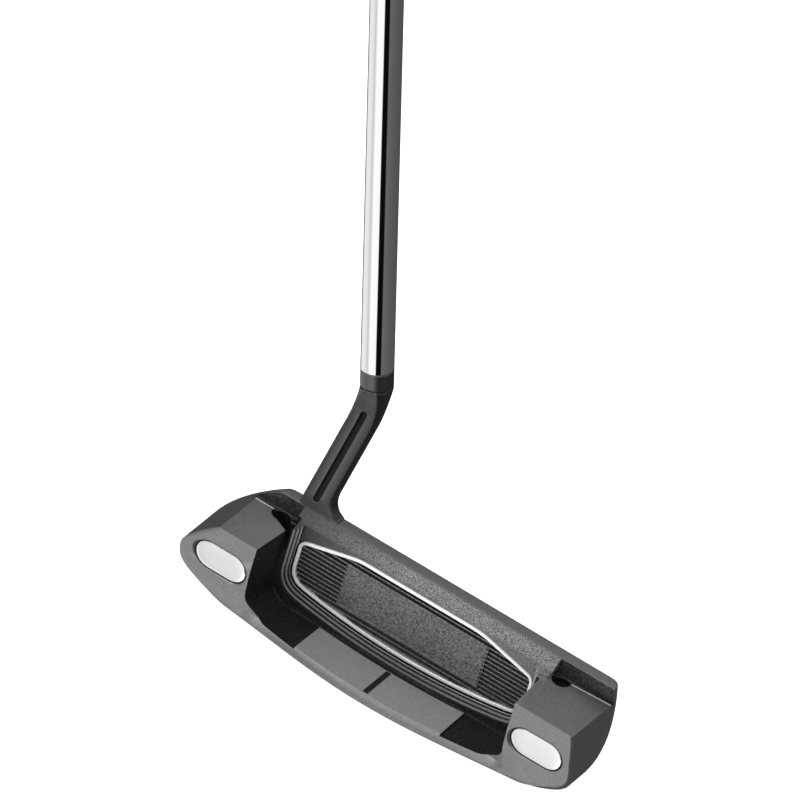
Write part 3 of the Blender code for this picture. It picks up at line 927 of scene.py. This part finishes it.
def satin_steel(name, tone, metallic=0.8):
    """Black-plated steel, milled and softly blasted: fine grain, faint clouding, edges worn brighter."""
    made, shader = principled(name, grey(tone), metallic, 0.4)
    tree = made.node_tree
    grain = noise(tree, 5200.0, 3.0, 0.6)
    cloud = noise(tree, 90.0, 5.0, 0.55)
    speck = noise(tree, 2300.0, 3.0, 0.65)
    patches = spread(tree, cloud, 0.3, 0.7, 0.6, 1.0)
    factor = scalar(tree, "MULTIPLY", patches, spread(tree, speck, 0.36, 0.64, 0.0, 1.0))
    plated = blend_colour(tree, factor, grey(tone * 0.84), grey(tone * 1.2))
    pointed = node(tree, "ShaderNodeNewGeometry").outputs["Pointiness"]
    worn = blend_colour(tree, spread(tree, pointed, 0.52, 0.6, 0.0, 0.5), plated, grey(0.42))
    tree.links.new(worn, shader.inputs["Base Color"])
    tree.links.new(spread(tree, grain, 0.3, 0.7, 0.34, 0.46), shader.inputs["Roughness"])
    normal = bump(tree, grain, 0.02, 0.35, rounded_edges(tree, 0.3))
    tree.links.new(normal, shader.inputs["Normal"])
    return made


HEEL_SHADE_SPAN = (-0.04, -0.006)  # X in metres over which the painted shade on the slope lifts towards the toe


def blasted_steel(name, dark, light, roughness, scale=3000.0, metallic=0.8, fade=False):
    """Coarsely blasted steel: dark pits between light grains; with fade, painted shade darkens it towards
    the heel.
    """
    made, shader = principled(name, grey(light), metallic, roughness)
    tree = made.node_tree
    grain = noise(tree, scale, 4.0, 0.7)
    factor = spread(tree, grain, 0.38, 0.62, 0.0, 1.0)
    # Painted shade: towards the heel the grains are darkened to the pit colour.
    if fade:
        split = node(tree, "ShaderNodeSeparateXYZ")
        tree.links.new(node(tree, "ShaderNodeTexCoord").outputs["Object"], split.inputs[0])
        painted_shade_lift = spread(tree, split.outputs[0], *HEEL_SHADE_SPAN, 0.0, 1.0)
        factor = scalar(tree, "MULTIPLY", factor, painted_shade_lift)
    tree.links.new(blend_colour(tree, factor, grey(dark), grey(light)), shader.inputs["Base Color"])
    glossier = spread(tree, grain, 0.3, 0.7, roughness + 0.1, roughness - 0.08)
    tree.links.new(glossier, shader.inputs["Roughness"])
    tree.links.new(bump(tree, grain, 0.06, 0.6, rounded_edges(tree, 0.25)), shader.inputs["Normal"])
    return made


def bright_steel(name="polished_bright_steel", metallic=1.0):
    """Polished steel with hairline polishing marks."""
    made, shader = principled(name, (0.95, 0.95, 0.95), metallic, 0.14)
    tree = made.node_tree
    lines = noise(tree, 900.0, 3.0, 0.5, (1.0, 6.0, 6.0))
    tree.links.new(spread(tree, lines, 0.3, 0.7, 0.09, 0.2), shader.inputs["Roughness"])
    tree.links.new(bump(tree, lines, 0.004, 0.25, rounded_edges(tree, 0.15)), shader.inputs["Normal"])
    return made


def chrome():
    """Mirror chrome over a drawn tube: faint lengthwise draw lines and a few fine scuffs."""
    made, shader = principled("mirror_chrome", (0.86, 0.86, 0.87), 1.0, 0.03)
    tree = made.node_tree
    lines = noise(tree, 1600.0, 2.0, 0.5, (1.0, 1.0, 0.02))
    scuffs = noise(tree, 240.0, 6.0, 0.7)
    tree.links.new(spread(tree, scuffs, 0.45, 0.75, 0.02, 0.1), shader.inputs["Roughness"])
    tree.links.new(bump(tree, lines, 0.0008, 0.2), shader.inputs["Normal"])
    return made


def rubber():
    """Matte grip rubber with a fine pebbled skin and a dusty bloom in patches."""
    made, shader = principled("grip_rubber_skin", (0.018, 0.018, 0.019), 0.0, 0.7)
    tree = made.node_tree
    pebble = node(tree, "ShaderNodeTexVoronoi")
    pebble.inputs["Scale"].default_value = 1100.0
    tree.links.new(node(tree, "ShaderNodeTexCoord").outputs["Object"], pebble.inputs["Vector"])
    bloom = noise(tree, 160.0, 5.0, 0.6)
    dusty = spread(tree, bloom, 0.35, 0.75, 0.0, 1.0)
    tone = blend_colour(tree, dusty, (0.014, 0.014, 0.015), (0.034, 0.034, 0.035))
    tree.links.new(tone, shader.inputs["Base Color"])
    tree.links.new(spread(tree, bloom, 0.3, 0.7, 0.62, 0.8), shader.inputs["Roughness"])
    tree.links.new(bump(tree, pebble.outputs["Distance"], 0.12, 0.5), shader.inputs["Normal"])
    return made


def paper_tape():
    """Crepe masking tape with cross wrinkles."""
    made, shader = principled("crepe_tape", (0.72, 0.66, 0.5), 0.0, 0.85)
    tree = made.node_tree
    crepe = noise(tree, 700.0, 5.0, 0.6, (1.0, 1.0, 5.0))
    wrinkle = spread(tree, crepe, 0.3, 0.7, 0.0, 1.0)
    tone = blend_colour(tree, wrinkle, (0.62, 0.55, 0.4), (0.78, 0.72, 0.56))
    tree.links.new(tone, shader.inputs["Base Color"])
    tree.links.new(bump(tree, crepe, 0.2, 0.6), shader.inputs["Normal"])
    return made


def paint():
    """Black enamel settled in the groove, with a slight orange-peel surface."""
    made, shader = principled("black_enamel", (0.006, 0.006, 0.006), 0.0, 0.3)
    tree = made.node_tree
    peel = noise(tree, 1500.0, 3.0, 0.5)
    tree.links.new(spread(tree, peel, 0.3, 0.7, 0.26, 0.42), shader.inputs["Roughness"])
    tree.links.new(bump(tree, peel, 0.03, 0.4), shader.inputs["Normal"])
    return made


# Stage


def floor_material():
    """White and lit from within, so that the floor stays as pale as the surround."""
    made, shader = principled("pale_floor", (0.9, 0.9, 0.9), 0.0, 0.9)
    shader.inputs["Emission Color"].default_value = (1.0, 1.0, 1.0, 1.0)
    shader.inputs["Emission Strength"].default_value = 0.85
    return made


def make_floor():
    """A round floor just under the sole, left out of reflections."""
    built = bmesh.new()
    bmesh.ops.create_circle(built, cap_ends=True, segments=96, radius=4.0)
    data = bpy.data.meshes.new("floor")
    built.to_mesh(data)
    built.free()
    floor = bpy.data.objects.new("floor", data)
    bpy.context.scene.collection.objects.link(floor)
    floor.location.z = -0.0002
    floor.visible_glossy = False
    data.materials.append(floor_material())


def ramp(tree, source, stops):
    """A grey that runs through (position, value) stops."""
    made = node(tree, "ShaderNodeValToRGB")
    tree.links.new(source, made.inputs["Fac"])
    elements = made.color_ramp.elements
    while len(elements) > 1:
        elements.remove(elements[-1])
    for number, (position, value) in enumerate(stops):
        each = elements[0] if number == 0 else elements.new(position)
        each.position = position
        each.color = (value, value, value, 1.0)
    return made.outputs["Color"]


def scalar(tree, operation, first, second):
    """A Math node on two numbers or sockets."""
    made = node(tree, "ShaderNodeMath", operation=operation)
    for number, value in enumerate((first, second)):
        if isinstance(value, (int, float)):
            made.inputs[number].default_value = value
        else:
            tree.links.new(value, made.inputs[number])
    return made.outputs[0]


STUDIO_SKY = (1.05, 0.34)  # overhead brightness at the rear and at the front
STUDIO_CARDS = (  # brightness round the horizon: share of the turn from -X by -Y, and value
    (0.0, 0.95),
    (0.1, 0.9),
    (0.155, 0.66),
    (0.21, 1.15),
    (0.317, 1.1),
    (0.328, 0.004),
    (0.406, 0.004),
    (0.422, 0.17),
    (0.667, 0.09),
    (0.82, 0.06),
    (0.9, 0.06),
    (0.95, 0.9),
    (1.0, 0.95),
)


def make_world():
    """Studio surround: white cards on the left, a narrow black gap, grey on the right, a soft overhead."""
    world = bpy.data.worlds.new("studio")
    bpy.context.scene.world = world
    world.use_nodes = True
    tree = world.node_tree
    background = tree.nodes["Background"]
    split = node(tree, "ShaderNodeSeparateXYZ")
    tree.links.new(node(tree, "ShaderNodeTexCoord").outputs["Generated"], split.inputs[0])
    x, y, z = split.outputs
    turn = scalar(tree, "ARCTAN2", y, x)
    around = spread(tree, turn, -math.pi, math.pi, 0.0, 1.0)
    cards = ramp(tree, around, STUDIO_CARDS)
    fade = spread(tree, z, -0.38, 0.0, 1.0, 0.45)
    low = scalar(tree, "MULTIPLY", cards, fade)
    overhead = spread(tree, z, 0.05, 0.4, 0.0, 1.0)
    sky = scalar(tree, "MULTIPLY", overhead, spread(tree, y, -0.9, 0.8, *STUDIO_SKY))
    total = scalar(tree, "ADD", scalar(tree, "MULTIPLY", low, scalar(tree, "SUBTRACT", 1.0, overhead)), sky)
    seen = scalar(tree, "MAXIMUM", total, node(tree, "ShaderNodeLightPath").outputs["Is Camera Ray"])
    tree.links.new(seen, background.inputs["Color"])
    background.inputs["Strength"].default_value = 1.0


def make_key():
    """One large softbox, up and to the left."""
    light = bpy.data.lights.new("softbox", "AREA")
    light.shape = "RECTANGLE"
    light.size, light.size_y = 1.4, 1.0
    light.energy = 9.0
    stand = Vector((-1.1, -0.9, 1.6))
    obj = bpy.data.objects.new("softbox", light)
    bpy.context.scene.collection.objects.link(obj)
    obj.location = stand
    obj.rotation_mode = "QUATERNION"
    obj.rotation_quaternion = (-stand).to_track_quat("-Z", "Y")


CAMERA_DISTANCE = 7.0
CAMERA_LENS = 1275.75  # takes in about 0.2 m at that distance
CAMERA_TARGET = Vector((0.0, -0.0125, 0.0042))
CAMERA_RIGHT, CAMERA_UP = 0.00883951, 0.07234568  # from the target to the middle of the view


def make_camera():
    """A long lens, turned round its own axis, looking down on the back of the head."""
    azimuth, elevation, roll = (math.radians(v) for v in (22.0, 36.8, 17.0))
    level = Vector((math.cos(azimuth), math.sin(azimuth), 0.0))
    rising = Vector((-math.sin(azimuth), math.cos(azimuth), 0.0)) * math.sin(elevation)
    rising.z = math.cos(elevation)
    back = level.cross(rising)
    right = level * math.cos(roll) + rising * math.sin(roll)
    up = rising * math.cos(roll) - level * math.sin(roll)
    middle = CAMERA_TARGET + right * CAMERA_RIGHT + up * CAMERA_UP
    data = bpy.data.cameras.new("camera")
    camera = bpy.data.objects.new("camera", data)
    bpy.context.scene.collection.objects.link(camera)
    rows = [[right[i], up[i], back[i], middle[i] + back[i] * CAMERA_DISTANCE] for i in range(3)]
    camera.matrix_world = Matrix(rows + [[0, 0, 0, 1]])
    data.sensor_width = 36.0
    data.lens = CAMERA_LENS
    data.clip_end = 60.0
    bpy.context.scene.camera = camera


# Assembly


def place(obj, cad_node, slot, *looks):
    """Gives a piece its looks, ties it to the body and hides the CAD node it stands in for; the slot is not
    used.
    """
    obj.data.materials.clear()
    for look in looks:
        obj.data.materials.append(look)
    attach(obj, "root")
    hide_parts(cad_node)
    return obj


def head_looks():
    """The head's finishes, with painted light and shade among them, in the order in which head_zone's names
    are numbered.
    """
    return (
        satin_steel("black_satin_steel", 0.27, 0.92),
        # The slope's blasting, with painted shade darkening it towards the heel.
        blasted_steel("blasted_slope_steel", 0.06, 0.34, 0.5, metallic=0.7, fade=True),
        # Painted shade: a near-black copy of the blasted steel for the cavity, plunge marks and steep slope
        # walls.
        blasted_steel("blasted_cavity_painted_shade", 0.006, 0.055, 0.55),
        # Painted light: a lighter, less metallic copy of the satin steel for the deck.
        satin_steel("black_satin_deck_painted_light", 0.4, 0.45),
        # Painted light: a lighter copy of the satin steel for the ledges.
        satin_steel("black_satin_ledge_painted_light", 0.4),
        # Painted highlight on the bumper's front edge: a near-white, barely metallic copy.
        satin_steel("edge_painted_highlight", 0.85, 0.1),
        # Painted shade: a darker copy of the blasted steel in the channels.
        blasted_steel("blasted_channel_painted_shade", 0.025, 0.17, 0.5),
    )


def paint_faces(obj, choose):
    """Sets each face's material by number."""
    obj.data.polygons.foreach_set("material_index", [int(choose(p)) for p in obj.data.polygons])


def place_head():
    """The milled head, each face with its own finish, some of them painted light and shade."""
    head = place(make_head(), "head_body", "black_steel", *head_looks())
    paint_faces(head, lambda p: head_zone(p.center, p.normal))


def place_badge():
    """Rim, ribbed plate with painted shade in its grooves, and centre panel."""
    plate = blasted_steel("badge_rib_steel", 0.14, 0.42, 0.4, 2400.0)
    groove_painted_shade = blasted_steel("badge_groove_painted_shade", 0.01, 0.04, 0.5, 2400.0)
    field = blasted_steel("badge_field_steel", 0.07, 0.3, 0.45, 2600.0)
    # The rim's silver, with most of its near-white base left diffuse as a painted highlight.
    place(make_rim(), "badge_rim", "bright_steel", bright_steel("silver_rim_painted_highlight", 0.25))
    ribs = place(make_badge_plate(), "badge_plate", "dark_badge", plate, groove_painted_shade)
    # Painted shade: the groove faces get the near-black copy.
    paint_faces(ribs, lambda p: p.center.y > (PLATE_Y + 0.02) * MM)
    place(make_badge_panel(), "badge_panel", "dark_badge", field)


def place_weights():
    bright = bright_steel()
    place(make_weight(-1, "heel"), "heel_weight", "bright_steel", bright)
    place(make_weight(1, "toe"), "toe_weight", "bright_steel", bright)


def place_sight_line():
    place(make_sight_line(), "sight_line_inlay", "black_paint", paint())


def place_neck():
    """The neck with painted shade, the collar's near-black, in its groove and recess, and the collar above
    it.
    """
    collar_black_and_recess_shade = satin_steel("black_collar_and_recess_shade", 0.03, 1.0)
    neck_look = satin_steel("black_satin_neck", 0.095, 1.0)
    neck = place(make_neck(), "neck", "black_steel", neck_look, collar_black_and_recess_shade)
    # Painted shade: the groove and the recess under the collar take the collar's near-black.
    paint_faces(neck, lambda p: is_recess(p.center / MM))
    place(make_collar(), "ferrule", "black_steel", collar_black_and_recess_shade)


def place_shaft_and_grip():
    skin = rubber()
    place(make_shaft(), "shaft", "chrome", chrome())
    place(make_tape(), "grip_tape", "masking_tape", paper_tape())
    place(make_grip(), "grip_sleeve", "grip_rubber", skin)
    place(make_cap(), "grip_cap", "grip_rubber", skin)


def main():
    place_head()
    place_badge()
    place_weights()
    place_sight_line()
    place_neck()
    place_shaft_and_grip()
    make_floor()
    make_world()
    make_key()
    make_camera()
    bpy.context.scene.view_settings.view_transform = "Standard"


main()
